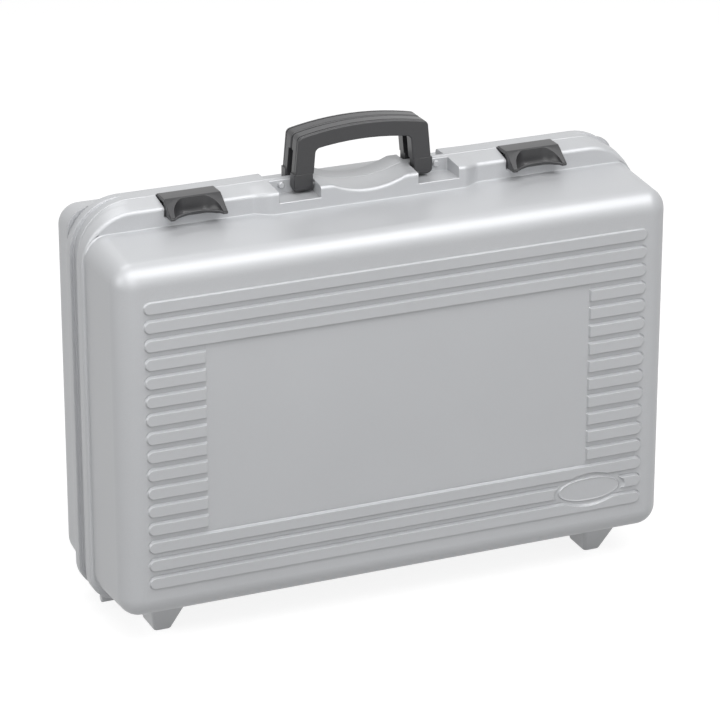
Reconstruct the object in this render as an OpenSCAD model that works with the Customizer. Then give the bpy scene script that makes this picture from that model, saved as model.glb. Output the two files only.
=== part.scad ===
/* [Case] */
// Depth of the front shell, from the seam to the pad tops
front_depth = 89; // [80:0.5:120]
// Depth of the rear shell, from the seam to the pad tops
rear_depth = 59.5; // [56:0.5:100]
// Half the width of the shell bodies
body_half_w = 230.5; // [228:0.5:240]
// Height of the front body's underside above the floor, at its face
foot_h = 28.5; // [24:0.5:40]
// Height of the front body at its face, bottom to top
body_h = 288.5; // [286:0.5:330]
// How much higher the rear body's top lies than the front body's
rear_rise = 10; // [0:0.5:11]
// How much higher the rear body's underside lies than the front body's
rear_lift = 2.5; // [0:0.5:6]
// How far top and bottom spread from a shell's face to its rim
body_draft = 4.5; // [2:0.5:6]
// How far each side spreads from a shell's face to its rim
side_draft = 1; // [0.5:0.25:1.5]
// Radius of the edge round a shell's face
face_edge_r = 17; // [12:0.5:20]
// Radius of the body's corners where it meets the rim
body_corner_r = 19; // [17:0.5:24]
// Thickness of the moulded walls
wall = 3; // [2:0.25:4]
// Gap between the two shells at the seam
seam_gap = 0.3; // [0.2:0.05:0.6]

/* [Rim] */
// How far the raised rim stands out of the body's sides
rim_proud = 3.5; // [1.5:0.25:5]
// How far the rim's top stands over the front body's top
rim_over = 23; // [21:0.5:30]
// How far the rim's underside hangs below the front body's underside
rim_under = 11.5; // [8:0.5:13]
// Depth of each half of the rim, from the seam to its outer edge
rim_depth = 19; // [17:0.5:24]
// Width of the front half of the seam channel
front_channel = 7; // [5:0.5:9]
// Width of the rear half of the seam channel
rear_channel = 9; // [5:0.5:11]
// How far the front rim's top falls from the seam to its outer edge
front_rim_fall = 4; // [0:0.25:5]
// How far the rear rim's top falls from the seam to its outer edge
rear_rim_fall = 0.5; // [0:0.25:4]
// Radius of the rim's top corners
rim_top_r = 42; // [34:1:50]
// Radius of the rim's bottom corners
rim_bottom_r = 22; // [18:1:30]
// Rounding of the rim's outer edge
rim_edge = 1.5; // [0.5:0.25:2.5]
// Depth of the rim where it swells round the handles
swell_depth = 26; // [22:0.5:30]
// Wall between a handle pocket and the end of the swelling's straight part
swell_wall = 4.5; // [3.5:0.5:12]
// Length of the swelling's slope at each end
swell_slope = 16; // [8:1:24]

/* [Ribbed face] */
// Distance from one rib to the next
rib_pitch = 15; // [13:0.25:15]
// Height of one rib
rib_h = 9.3; // [7:0.1:11]
// Distance from a full rib's end to the face's rounded edge
rib_end_gap = 3.9; // [2:0.1:12]
// Distance from the body's top to the top rib
rib_top_gap = 28; // [24:0.5:31]
// Least distance from the body's bottom to the lowest rib
rib_low_gap = 26; // [20:0.5:26]
// How far the ribs stand out of the face
rib_proud = 1.5; // [0.8:0.1:2]
// Full ribs above and below the label panel
full_ribs = 3; // [2:1:4]
// Length of a short rib beside the label panel
short_rib_l = 48.6; // [30:0.2:70]
// How far the label panel lies below the rib tops
panel_sunk = 0.7; // [0.3:0.1:1]
// Distance from the ribs' end to the middle of the bare badge oval
badge_in = 45.3; // [40:0.1:60]
// Distance from the body's underside to the middle of the badge oval
badge_up = 44.9; // [40:0.1:60]
// Half the width of the badge oval
badge_half_w = 27.2; // [15:0.1:32]
// Half the height of the badge oval
badge_half_h = 10.1; // [6:0.1:14]
// Groove round the badge oval
badge_groove = 4; // [2:0.25:6]

/* [Feet] */
// Distance of a foot's middle from the body's side
foot_in = 45.5; // [30:0.5:80]
// Width of a foot on the floor
foot_w = 13.5; // [10:0.5:20]
// Width of a foot where it leaves the body
foot_top_w = 30; // [22:1:40]
// Distance of a foot from the seam
foot_start = 24; // [20:0.5:28]
// Length of a foot on the floor, front to back
foot_l = 22; // [15:0.5:24]
// How much further a foot reaches at the body
foot_flare = 22; // [10:1:25]

/* [Hinges] */
// How far the hinge axis hangs below the rim
hinge_drop = 6; // [4:0.5:9]
// Radius of the hinge knuckles
knuckle_r = 3.5; // [3:0.1:4]
// Radius of the hinge pins
hinge_pin_r = 1.6; // [1.2:0.1:2]
// Distance of each hinge's outer end from the body's side
hinge_in = 10.5; // [9:0.5:40]
// Length of one knuckle with its gap
knuckle_pitch = 12; // [8:0.5:13]
// Knuckles in one hinge
knuckles = 5; // [3:2:7]
// Gap between neighbouring knuckles
knuckle_gap = 0.4; // [0.3:0.05:0.8]

/* [Handles] */
// Half the outer width of a handle at its legs
handle_half_w = 57.5; // [55:0.5:60]
// How much a handle narrows towards its top, each side
handle_taper = 2.5; // [0:0.5:5]
// Gap between a handle leg and the middle block between the pockets
leg_gap = 1.5; // [0.5:0.25:3]
// Radius of a handle's corners, outside and in the grip
handle_corner_r = 4.5; // [2:0.25:6]
// Thickness of a handle, front to back
handle_t = 13; // [11:0.5:14]
// Gap between the two handles when they stand
handle_gap = 2; // [1:0.25:3]
// Height of a handle's arched top above its pivot
handle_h = 45.1; // [38:0.1:60]
// Rise of the arch in a handle's top
handle_arch = 6.1; // [3:0.1:9]
// Height of the grip bar, top to bottom
grip_h = 13; // [10:0.5:16]
// Thickness of a leg's lower end
leg_foot_t = 9.5; // [7:0.5:10]
// How deep a handle pin sits in the middle block
pin_in_block = 6.5; // [4:0.5:7]
// Plastic left over the handle pin's end in a leg
pin_end_cover = 3; // [2:0.25:5]
// Height above the pivot at which the legs step back to their lower end
leg_step = 9; // [7:0.5:14]
// Gap between a handle leg's round end and its pocket's floor
leg_floor_gap = 1.75; // [1:0.25:2.25]
// Radius of the handle pins
handle_pin_r = 1.8; // [1.5:0.1:2]
// Half the width of the middle block between the handle pockets
pocket_in = 41; // [36:0.5:46]
// Room in a pocket beside the handle leg
pocket_room = 18; // [12:0.5:22]
// Depth of the pockets below the rim's top
pocket_h = 11; // [10.5:0.25:12]
// Thickness of the wall between a pocket and the seam
pocket_back = 3.6; // [3:0.1:4]
// Radius of the peg on a pocket's back wall
peg_r = 2.75; // [2:0.25:3]
// Distance of a peg's middle from its handle leg
peg_gap = 7.8; // [4:0.1:12]
// Distance of the finger dish's end from the pocket beside it
dish_in = 2.5; // [2:0.25:10]
// Depth of the finger dish
dish_h = 7.5; // [4:0.5:8]

/* [Latches] */
// Distance of a latch's middle from the body's side
latch_in = 87.5; // [70:1:105]
// Width of a latch
latch_w = 46; // [36:1:50]
// Thickness of a latch's plate
latch_t = 3; // [2.5:0.1:3.2]
// How far the pivot lies in front of the seam
latch_pivot_in = 2.55; // [2.4:0.05:3]
// How far the latch pivot lies below the rim's top
latch_pivot_drop = 1.6; // [1.2:0.1:2]
// Radius of the latch's barrel
barrel_r = 3.6; // [3.4:0.1:3.8]
// Gap between a latch's barrel and its trough in the rear shell
barrel_gap = 0.9; // [0.6:0.1:1.2]
// Distance from pivot to crease
latch_crease = 14.5; // [13:0.25:18]
// Distance from pivot to the lip's outer edge
latch_reach = 29.5; // [26:0.25:32]
// How far the lip's lower edge lies below the latch pivot
lip_drop = 9.5; // [7:0.1:9.8]
// Rise of the arch in the lip's lower edge
lip_arch = 3.4; // [1:0.2:5]
// Radius of the latch pin
latch_pin_r = 1.1; // [0.8:0.05:1.2]
// Gap between a closed latch and the floor of its bay
bay_gap = 0.7; // [0.5:0.1:1.5]
// Distance of a latch's two lugs from its middle
lug_x = 12; // [8:0.5:14]
// Width of one lug
lug_w = 6; // [4:0.5:8]

/* [Clearances] */
// Gap between a handle leg or a latch and the wall beside it
side_gap = 0.4; // [0.3:0.05:0.8]
// Radial clearance of the pins in their bores
pin_clear = 0.05; // [0.02:0.01:0.1]

/* [Hidden] */
SMOOTH = 48;
OUTSIDE_FN = 32;
INSIDE_FN = 28;
OVER = 1;
SLIVER = 1;
PLASTIC = [0.72, 0.73, 0.75];
DARK = [0.2, 0.2, 0.21];
STEEL = [0.5, 0.5, 0.52];

seam_y = (front_depth - rear_depth) / 2;
half_gap = seam_gap / 2;
front_bottom = foot_h;
front_top = foot_h + body_h;
rear_bottom = front_bottom + rear_lift;
rear_top = front_top + rear_rise;
rim_top = front_top + rim_over;
rim_bottom = front_bottom - rim_under;
rib_half_l = body_half_w - face_edge_r - rib_end_gap;
rib_top_z = front_top - rib_top_gap;
rib_count = 1 + floor((body_h - rib_top_gap - rib_low_gap - rib_h) / rib_pitch);
panel_half_w = rib_half_l - short_rib_l;
badge_x = rib_half_l - badge_in;
badge_z = front_bottom + badge_up;
foot_x = body_half_w - foot_in;
hinge_z = rim_bottom - hinge_drop;
hinge_end_x = body_half_w - hinge_in;
pocket_floor = rim_top - pocket_h;
pocket_out = handle_half_w + pocket_room;
swell_half_w = pocket_out + swell_wall;
dish_half_w = pocket_in - dish_in;
handle_pivot_z = pocket_floor + leg_floor_gap + leg_foot_t / 2;
handle_top = handle_pivot_z + handle_h;
leg_step_z = handle_pivot_z + leg_step;
leg_in = pocket_in + leg_gap;
leg_w = handle_half_w - leg_in;
peg_x = handle_half_w + peg_gap;
latch_x = body_half_w - latch_in;
latch_pivot_z = rim_top - latch_pivot_drop;
lip_z = latch_pivot_z - lip_drop;
bay_floor = lip_z - bay_gap;
handle_block_floor = pocket_floor - wall;
bay_half_w = latch_w / 2 + side_gap;
latch_pivot_y = seam_y - latch_pivot_in;
lug_r = latch_pin_r + 1;
slot_r = lug_r + 0.4;
handle_pivot_in = handle_gap / 2 + handle_t - leg_foot_t / 2;
pin_inner_x = pocket_in - pin_in_block;
pin_outer_x = handle_half_w - pin_end_cover;

// A shell is drawn against its seam: +Y runs from the seam to the shell's own face.
module place_front() {
    translate([0, seam_y, 0]) mirror([0, 1, 0]) children();
}

module place_rear() {
    translate([0, seam_y, 0]) children();
}

module along_x(x0, x1, r, fn = SMOOTH) {
    translate([x0, 0, 0]) rotate([0, 90, 0]) cylinder(h = x1 - x0, r = r, $fn = fn);
}

// Upright outline in X and Z, extruded from y0 to y1.
module upright(y0, y1) {
    translate([0, y1, 0]) rotate([90, 0, 0]) linear_extrude(height = y1 - y0) children();
}

module corner_discs(half_w, z0, z1, r_low, r_high, fn) {
    for (s = [-1, 1]) {
        translate([s * (half_w - r_low), z0 + r_low]) circle(r = r_low, $fn = fn);
        translate([s * (half_w - r_high), z1 - r_high]) circle(r = r_high, $fn = fn);
    }
}

module corner_outline(half_w, z0, z1, r_low, r_high) {
    corner_discs(half_w, z0, z1, r_low, r_high, SMOOTH);
    translate([-half_w, z0 + r_low]) square([2 * half_w, z1 - z0 - r_low - r_high]);
    translate([r_low - half_w, z0]) square([2 * (half_w - r_low), r_low + OVER]);
    translate([r_high - half_w, z1 - r_high - OVER])
        square([2 * (half_w - r_high), r_high + OVER]);
}

module body_form(start, depth, half_w, top, bottom, edge_r, corner_r, spread, fn) {
    hull() {
        for (s = [-1, 1], z = [bottom + edge_r, top - edge_r])
            translate([s * (half_w - edge_r), depth - edge_r, z]) sphere(r = edge_r, $fn = fn);
        upright(start, start + SLIVER)
            corner_discs(half_w + side_draft, bottom - spread, top + spread, corner_r, corner_r,
                fn);
    }
}

// Rim band and seam channel, with the top falling away from the seam.
module rim_form(channel, fall) {
    half_w = body_half_w + rim_proud;
    difference() {
        union() {
            upright(channel, rim_depth)
                corner_outline(half_w, rim_bottom, rim_top, rim_bottom_r, rim_top_r);
            upright(half_gap, channel + OVER)
                corner_outline(body_half_w, rim_bottom + rim_proud, rim_top, rim_bottom_r,
                    rim_top_r);
        }
        translate([-half_w - OVER, 0, rim_top]) rotate([-atan(fall / rim_depth), 0, 0])
            cube([2 * (half_w + OVER), 2 * rim_depth, rim_top_r]);
    }
}

module swell_form(fall, base_z) {
    half_w = swell_half_w + swell_slope;
    difference() {
        translate([0, 0, base_z]) linear_extrude(height = rim_top - base_z)
            polygon([[-half_w, rim_depth / 2], [half_w, rim_depth / 2],
                [half_w, rim_depth - rim_edge], [swell_half_w, swell_depth],
                [-swell_half_w, swell_depth], [-half_w, rim_depth - rim_edge]]);
        translate([-half_w - OVER, 0, rim_top]) rotate([-atan(fall / rim_depth), 0, 0])
            cube([2 * (half_w + OVER), 2 * swell_depth, rim_top_r]);
    }
}

module foot(depth, bottom) {
    far = min(foot_start + foot_l + foot_flare, depth - face_edge_r);
    hull() {
        translate([-foot_w / 2, foot_start, 0]) cube([foot_w, foot_l, SLIVER]);
        translate([-foot_top_w / 2, foot_start - 1, bottom - SLIVER])
            cube([foot_top_w, far - foot_start, wall / 2]);
    }
}

module full_rib() {
    square([2 * rib_half_l - rib_h, rib_h], center = true);
    for (s = [-1, 1]) translate([s * (rib_half_l - rib_h / 2), 0]) circle(d = rib_h, $fn = SMOOTH);
}

module short_rib(side) {
    flat = rib_half_l - rib_h / 2 - panel_half_w;
    translate([side * (panel_half_w + flat / 2), 0]) square([flat, rib_h], center = true);
    translate([side * (rib_half_l - rib_h / 2), 0]) circle(d = rib_h, $fn = SMOOTH);
}

module oval(grow) {
    steps = 40;
    polygon([for (i = [0:steps - 1]) let (a = 360 * i / steps)
        [badge_x + (badge_half_w + grow) * cos(a), badge_z + (badge_half_h + grow) * sin(a)]]);
}

module rib_outlines() {
    for (i = [0:rib_count - 1]) {
        translate([0, rib_top_z - rib_h / 2 - i * rib_pitch]) {
            if (i < full_ribs || i >= rib_count - full_ribs) full_rib();
            else {
                short_rib(-1);
                short_rib(1);
            }
        }
    }
}

module ribbed_face(depth, has_badge) {
    root_y = depth - rib_proud - wall / 2;
    panel_top = rib_top_z - (full_ribs - 1) * rib_pitch - rib_h;
    panel_low = rib_top_z - (rib_count - full_ribs) * rib_pitch;
    upright(root_y, depth) difference() {
        rib_outlines();
        if (has_badge) oval(badge_groove);
    }
    upright(root_y, depth - panel_sunk)
        translate([-panel_half_w, panel_low]) square([2 * panel_half_w, panel_top - panel_low]);
    if (has_badge) upright(root_y, depth) oval(0);
}

module shell_hollow(depth, top, bottom, fall) {
    face_y = depth - rib_proud - wall;
    difference() {
        union() {
            body_form(-OVER, face_y, body_half_w - wall, top - wall, bottom + wall,
                face_edge_r - wall, body_corner_r - wall, body_draft, INSIDE_FN);
            upright(-OVER, rim_depth - wall)
                corner_outline(body_half_w - wall - OVER, rim_top / 2, rim_top - fall - wall,
                    wall, rim_top_r - wall);
        }
        translate([-pocket_out - wall, -2 * OVER, handle_block_floor])
            cube([2 * (pocket_out + wall), swell_depth + 3 * OVER, rim_top]);
        for (s = [-1, 1])
            translate([s * latch_x - bay_half_w - wall, -2 * OVER, bay_floor - wall])
                cube([2 * (bay_half_w + wall), rim_depth + 3 * OVER, rim_top]);
    }
}

// One hinge half: round knuckles with a web up to the rim's underside.
module knuckles_at(side, phase) {
    web_h = rim_bottom + rim_proud + wall - hinge_z;
    mirror([side > 0 ? 1 : 0, 0, 0])
        for (i = [phase:2:knuckles - 1]) {
            x0 = -hinge_end_x + i * knuckle_pitch + knuckle_gap / 2;
            x1 = x0 + knuckle_pitch - knuckle_gap;
            translate([0, 0, hinge_z]) along_x(x0, x1, knuckle_r);
            translate([x0, half_gap, hinge_z])
                cube([x1 - x0, knuckle_r - half_gap, web_h]);
        }
}

module handle_pocket() {
    translate([pocket_in, pocket_back, pocket_floor])
        cube([pocket_out - pocket_in, swell_depth, rim_top - pocket_floor + OVER]);
}

module dish() {
    r = (dish_half_w * dish_half_w + dish_h * dish_h) / (2 * dish_h);
    translate([0, -OVER, rim_top - dish_h + r])
        rotate([-90, 0, 0]) cylinder(h = swell_depth + 3 * OVER, r = r, $fn = 4 * SMOOTH);
}

module peg() {
    translate([peg_x, pocket_back - 0.5, handle_pivot_z])
        rotate([-90, 0, 0]) cylinder(h = 2.5, r = peg_r, $fn = SMOOTH);
}

module shell_half(depth, top, bottom, channel, fall, has_badge, phase) {
    difference() {
        union() {
            body_form(channel + OVER, depth - rib_proud, body_half_w, top, bottom, face_edge_r,
                body_corner_r, body_draft, OUTSIDE_FN);
            rim_form(channel, fall);
            swell_form(fall, top + body_draft - 2);
            ribbed_face(depth, has_badge);
            for (s = [-1, 1]) translate([s * foot_x, 0, 0]) foot(depth, bottom);
            for (s = [-1, 1]) knuckles_at(s, phase);
        }
        shell_hollow(depth, top, bottom, fall);
        dish();
        for (s = [0, 1]) mirror([s, 0, 0]) {
            handle_pocket();
            translate([0, handle_pivot_in, handle_pivot_z])
                along_x(pin_inner_x - side_gap, pocket_in + OVER, handle_pin_r + pin_clear);
        }
        translate([0, 0, hinge_z])
            along_x(-hinge_end_x - OVER, hinge_end_x + OVER, hinge_pin_r + pin_clear);
    }
    for (s = [0, 1]) mirror([s, 0, 0]) peg();
}

module front_shell() {
    color(PLASTIC) difference() {
        place_front()
            shell_half(front_depth, front_top, front_bottom, front_channel, front_rim_fall, true, 0);
        for (s = [-1, 1])
            translate([s * latch_x - bay_half_w, seam_y - swell_depth - OVER, bay_floor])
                cube([2 * bay_half_w, swell_depth + 2 * OVER, rim_top]);
    }
}

module lug_outline() {
    circle(r = lug_r, $fn = SMOOTH);
    translate([-lug_r, -8]) square([2 * lug_r, 8]);
    translate([-lug_r, -8]) square([latch_pivot_in + lug_r + 3, 3]);
}

module latch_lugs() {
    for (s = [-1, 1], t = [-1, 1])
        translate([s * latch_x + t * lug_x - lug_w / 2, latch_pivot_y, latch_pivot_z])
            rotate([90, 0, 90]) linear_extrude(height = lug_w) lug_outline();
}

module rear_shell() {
    color(PLASTIC) difference() {
        union() {
            difference() {
                place_rear()
                    shell_half(rear_depth, rear_top, rear_bottom, rear_channel, rear_rim_fall,
                        false, 1);
                for (s = [-1, 1])
                    translate([s * latch_x, latch_pivot_y, latch_pivot_z])
                        along_x(-bay_half_w, bay_half_w, barrel_r + barrel_gap);
            }
            latch_lugs();
        }
        for (s = [-1, 1])
            translate([s * latch_x, latch_pivot_y, latch_pivot_z])
                along_x(-bay_half_w, bay_half_w, latch_pin_r + pin_clear);
    }
}

module hinge_pin(side) {
    color(STEEL) mirror([side > 0 ? 1 : 0, 0, 0]) translate([0, seam_y, hinge_z])
        along_x(-hinge_end_x, -hinge_end_x + knuckles * knuckle_pitch, hinge_pin_r);
}

// Front view of a handle: two legs and an arched grip bar with rounded corners.
module rounded(r) {
    offset(r = r, $fn = OUTSIDE_FN) offset(delta = -r) children();
}

module handle_outline() {
    low_z = handle_pivot_z - leg_foot_t / 2;
    top_half_w = handle_half_w - handle_taper;
    arc_r = (top_half_w * top_half_w + handle_arch * handle_arch) / (2 * handle_arch);
    in_top_half_w = top_half_w - leg_w;
    in_r_arc = arc_r - grip_h;
    difference() {
        rounded(handle_corner_r) intersection() {
            polygon([[-handle_half_w, low_z], [handle_half_w, low_z], [top_half_w, handle_top],
                [-top_half_w, handle_top]]);
            translate([0, handle_top - arc_r]) circle(r = arc_r, $fn = 4 * SMOOTH);
        }
        rounded(handle_corner_r) intersection() {
            polygon([[-leg_in, low_z - grip_h], [leg_in, low_z - grip_h],
                [in_top_half_w, handle_top], [-in_top_half_w, handle_top]]);
            translate([0, handle_top - arc_r]) circle(r = in_r_arc, $fn = 4 * SMOOTH);
        }
    }
}

// Side view of a handle: thick above, with a thinner round-ended foot at the pivot.
module handle_side() {
    y0 = handle_gap / 2;
    foot_y0 = y0 + handle_t - leg_foot_t;
    translate([y0, leg_step_z]) square([handle_t, handle_top - leg_step_z + OVER]);
    translate([foot_y0, handle_pivot_z]) square([leg_foot_t, leg_step_z - handle_pivot_z + OVER]);
    translate([foot_y0 + leg_foot_t / 2, handle_pivot_z]) circle(d = leg_foot_t, $fn = SMOOTH);
}

module handle() {
    difference() {
        intersection() {
            upright(0, 2 * handle_t) handle_outline();
            rotate([90, 0, 90]) translate([0, 0, -handle_half_w])
                linear_extrude(height = 2 * handle_half_w) handle_side();
        }
        for (s = [0, 1]) mirror([s, 0, 0]) translate([0, handle_pivot_in, handle_pivot_z])
            along_x(pocket_in, pin_outer_x + side_gap, handle_pin_r + pin_clear);
    }
}

module handle_pin() {
    color(STEEL) translate([0, handle_pivot_in, handle_pivot_z])
        along_x(pin_inner_x, pin_outer_x, handle_pin_r);
}

// Side view of a latch, drawn about its pivot: +X points to the front of the case.
module latch_side() {
    lip_w = lip_z - latch_pivot_z;
    drop = latch_reach - latch_crease;
    top_w = barrel_r;
    circle(r = barrel_r, $fn = SMOOTH);
    polygon([[0, top_w], [latch_crease, top_w], [latch_reach, lip_w],
        [latch_reach - 1.3 * latch_t, lip_w], [latch_crease - 0.4 * latch_t, top_w - latch_t],
        [0, top_w - latch_t]]);
}

module latch_leg() {
    lip_w = lip_z - latch_pivot_z;
    translate([latch_crease, lip_w]) square([5.5, barrel_r - lip_w - latch_t / 2]);
}

module latch_slot() {
    reach = 3 * barrel_r;
    circle(r = slot_r, $fn = SMOOTH);
    polygon([[0, slot_r], [-2 * reach, slot_r + 0.7 * reach], [-2 * reach, -reach],
        [0.6 * reach, -reach], [0.6 * reach, 0.1], [0, 0.1]]);
}

module latch(side) {
    arch_half_w = latch_w / 2 - 3;
    arch_r = (arch_half_w * arch_half_w + lip_arch * lip_arch) / (2 * lip_arch);
    leg_t = 4;
    color(DARK) translate([side * latch_x, latch_pivot_y, latch_pivot_z]) mirror([0, 1, 0])
        difference() {
            union() {
                translate([-latch_w / 2, 0, 0]) rotate([90, 0, 90])
                    linear_extrude(height = latch_w) latch_side();
                for (x = [-latch_w / 2, latch_w / 2 - leg_t]) translate([x, 0, 0])
                    rotate([90, 0, 90]) linear_extrude(height = leg_t) latch_leg();
            }
            for (t = [-1, 1]) translate([t * lug_x - lug_w / 2 - side_gap, 0, 0])
                rotate([90, 0, 90]) linear_extrude(height = lug_w + 2 * side_gap) latch_slot();
            along_x(-latch_w, latch_w, latch_pin_r + pin_clear);
            translate([0, latch_crease + 6, lip_z - latch_pivot_z + lip_arch - arch_r])
                rotate([-90, 0, 0]) cylinder(h = latch_reach, r = arch_r, $fn = 4 * SMOOTH);
        }
}

module latch_pin(side) {
    color(STEEL) translate([side * latch_x, latch_pivot_y, latch_pivot_z])
        along_x(-latch_w / 2 + 1, latch_w / 2 - 1, latch_pin_r);
}

front_shell();
rear_shell();
hinge_pin(-1);  // left_hinge_pin
hinge_pin(1);  // right_hinge_pin
color(DARK) place_front() handle();  // front_handle
color(DARK) place_rear() handle();  // rear_handle
place_front() mirror([1, 0, 0]) handle_pin();  // front_handle_left_pin
place_front() handle_pin();  // front_handle_right_pin
place_rear() mirror([1, 0, 0]) handle_pin();  // rear_handle_left_pin
place_rear() handle_pin();  // rear_handle_right_pin
latch(-1);  // left_latch
latch(1);  // right_latch
latch_pin(-1);  // left_latch_pin
latch_pin(1);  // right_latch_pin
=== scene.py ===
import math

import bmesh
import bpy
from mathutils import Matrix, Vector


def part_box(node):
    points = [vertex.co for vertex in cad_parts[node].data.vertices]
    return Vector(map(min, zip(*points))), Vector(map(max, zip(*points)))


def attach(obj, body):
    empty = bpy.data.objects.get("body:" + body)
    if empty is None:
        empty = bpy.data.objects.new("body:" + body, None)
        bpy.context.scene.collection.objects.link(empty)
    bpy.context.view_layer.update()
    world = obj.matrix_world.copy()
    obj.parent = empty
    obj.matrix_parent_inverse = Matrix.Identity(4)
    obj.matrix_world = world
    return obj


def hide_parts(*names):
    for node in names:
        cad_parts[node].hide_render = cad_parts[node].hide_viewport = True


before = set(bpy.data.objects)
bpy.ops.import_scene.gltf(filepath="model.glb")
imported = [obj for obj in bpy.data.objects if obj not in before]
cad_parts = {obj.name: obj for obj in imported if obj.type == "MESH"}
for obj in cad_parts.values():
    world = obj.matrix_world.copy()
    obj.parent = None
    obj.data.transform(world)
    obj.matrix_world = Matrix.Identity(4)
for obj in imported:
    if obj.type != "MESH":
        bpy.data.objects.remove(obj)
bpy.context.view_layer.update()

# All sizes below are in millimetres and degrees, in the frame's own axes.
MM = 0.001
front_low, front_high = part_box("front_shell")
rear_low, rear_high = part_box("rear_shell")

# Case
SEAM_GAP = 0.3
FRONT_DEPTH = 89
SEAM_Y = front_low.y / MM + FRONT_DEPTH
REAR_DEPTH = rear_high.y / MM - SEAM_Y
BODY_HALF_W = 230.5
FACE_EDGE_R = 17
FACE_CORNER_R = 2
BODY_CORNER_R = 19
WALL = 3
BODY_DRAFT = 4.5
SIDE_DRAFT = 1
SEAM_CHAMFER = 0.4
FRONT_TOP, REAR_TOP = 317, 327
FRONT_BOTTOM, REAR_BOTTOM = 28.5, 31

# Rim and swelling
RIM_PROUD = 3.5
RIM_TOP = 340
RIM_BOTTOM = 17
RIM_DEPTH = 19
RIM_TOP_R = 42
RIM_BOTTOM_R = 22
RIM_EDGE = 3
CHANNEL_SOFT = 0.8
RIM_FILLET = 1.2
FRONT_CHANNEL, REAR_CHANNEL = 7, 9
FRONT_FALL, REAR_FALL = 4, 0.5
SWELL_DEPTH = 26
SWELL_HALF_W = 80
SWELL_SLOPE = 16
SWELL_LEVEL = 0.6
DISH_HALF_W = 38.5
DISH_H = 7.5
DISH_STEEPER, DISH_NARROWER = 0.53, 4.6

# Ribbed face
RIB_COUNT = 16
RIB_PITCH = 15
RIB_H = 9.3
RIB_HALF_L = 209.6
RIB_PROUD = 1.5
FULL_RIBS = 3
PANEL_HALF_W = 161
PANEL_SUNK = 0.7
VALLEY_SUNK = 0.6
CREASE_SUNK = 0.9
EDGE_SOFT = 0.6
RIB_TOP_GAP = 28
BADGE_X, BADGE_UP = 164.3, 44.9
BADGE_HALF_W, BADGE_HALF_H = 27.2, 10.1
BADGE_GROOVE = 4

# Feet and hinges
FOOT_X = 187
FOOT_HALF_W, FOOT_TOP_HALF_W = 6.95, 15
FOOT_START, FOOT_L, FOOT_FLARE = 24, 27.5, 16.5
FOOT_EDGE_R = 3
FOOT_ROOT = 4
HINGE_Z = 11
KNUCKLE_R = 3.5
HINGE_END_X = 220
KNUCKLE_PITCH = 12
KNUCKLES = 5
KNUCKLE_GAP = 0.4

# Handle seats
POCKET_IN, POCKET_OUT = 41, 75.5
POCKET_FLOOR = 329
POCKET_BACK = 3.6
PEG_X, PEG_R = 65.3, 2.75
PIVOT_Z = 335.5

# Handles
HANDLE_HALF_W = 58.2
HANDLE_TAPER, HANDLE_IN_TAPER = 4, 2.5
LEG_IN = 42.5
HANDLE_CORNER_R = 4.5
HANDLE_T = 13
HANDLE_GAP = 2
HANDLE_TOP = 380.6
HANDLE_ARCH = 6.1
GRIP_H = 13
LEG_FOOT_T = 9.5
LEG_STEP_Z = 344.5
HANDLE_BEVEL = 1.3
HANDLE_TOP_HALF_W = HANDLE_HALF_W - HANDLE_TAPER
HANDLE_ARC_R = (HANDLE_TOP_HALF_W ** 2 + HANDLE_ARCH ** 2) / (2 * HANDLE_ARCH)
GROOVE_V, GROOVE_W, GROOVE_DEEP = 10, 1.6, 0.8
PIN_OUTER_X = 54.9
HANDLE_PIN_R = 1.8
PIN_CLEAR = 0.15
LEG_FOOT_R = 2.8

# Latches
LATCH_X = 143
LATCH_W = 46
LATCH_T = 3
LATCH_PIVOT_IN = 2.55
LATCH_PIVOT_Z = 338.4
BARREL_R = 3.6
BARREL_GAP = 0.9
LATCH_CREASE = 14.5
LATCH_REACH = 29.5
LIP_Z = 328.9
BOWL_LOW = -9.5
SCOOP_TOP_HALF_W = 5
LATCH_CORNER_W = 3.5
LATCH_EDGE, LATCH_EDGE_DROP = 0.7, 0.55
LIP_IN, LIP_UP, LIP_T, LIP_CROWN = 4.6, 1.8, 2, 0.7
LATCH_LEG_T, LATCH_LEG_L = 4.1, 5.5
LATCH_PIN_R = 1.15
BAY_FLOOR = 328.2
LUG_X, LUG_W = 12, 6
LUG_R = 2.1
SIDE_GAP = 0.4


def to_front(v):
    return SEAM_Y - v


def to_rear(v):
    return SEAM_Y + v


def new_object(name, mesh):
    obj = bpy.data.objects.new(name, mesh)
    bpy.context.scene.collection.objects.link(obj)
    return obj


def mesh_object(name, points, faces, split=False):
    """A mesh from points in millimetres, with its faces turned outwards."""
    mesh = bpy.data.meshes.new(name)
    mesh.from_pydata([Vector(p) * MM for p in points], [], faces)
    bm = bmesh.new()
    bm.from_mesh(mesh)
    bmesh.ops.recalc_face_normals(bm, faces=bm.faces)
    if split:
        many = [face for face in bm.faces if len(face.verts) > 4]
        bmesh.ops.triangulate(bm, faces=many, ngon_method="EAR_CLIP")
    bm.to_mesh(mesh)
    bm.free()
    return new_object(name, mesh)


def join(name, objects):
    """One object from several, with their modifiers applied."""
    bpy.context.view_layer.update()
    graph = bpy.context.evaluated_depsgraph_get()
    bm = bmesh.new()
    for obj in objects:
        mesh = bpy.data.meshes.new_from_object(obj.evaluated_get(graph))
        mesh.transform(obj.matrix_world)
        bm.from_mesh(mesh)
        bpy.data.meshes.remove(mesh)
    mesh = bpy.data.meshes.new(name)
    bm.to_mesh(mesh)
    bm.free()
    for obj in objects:
        bpy.data.objects.remove(obj)
    return new_object(name, mesh)


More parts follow.
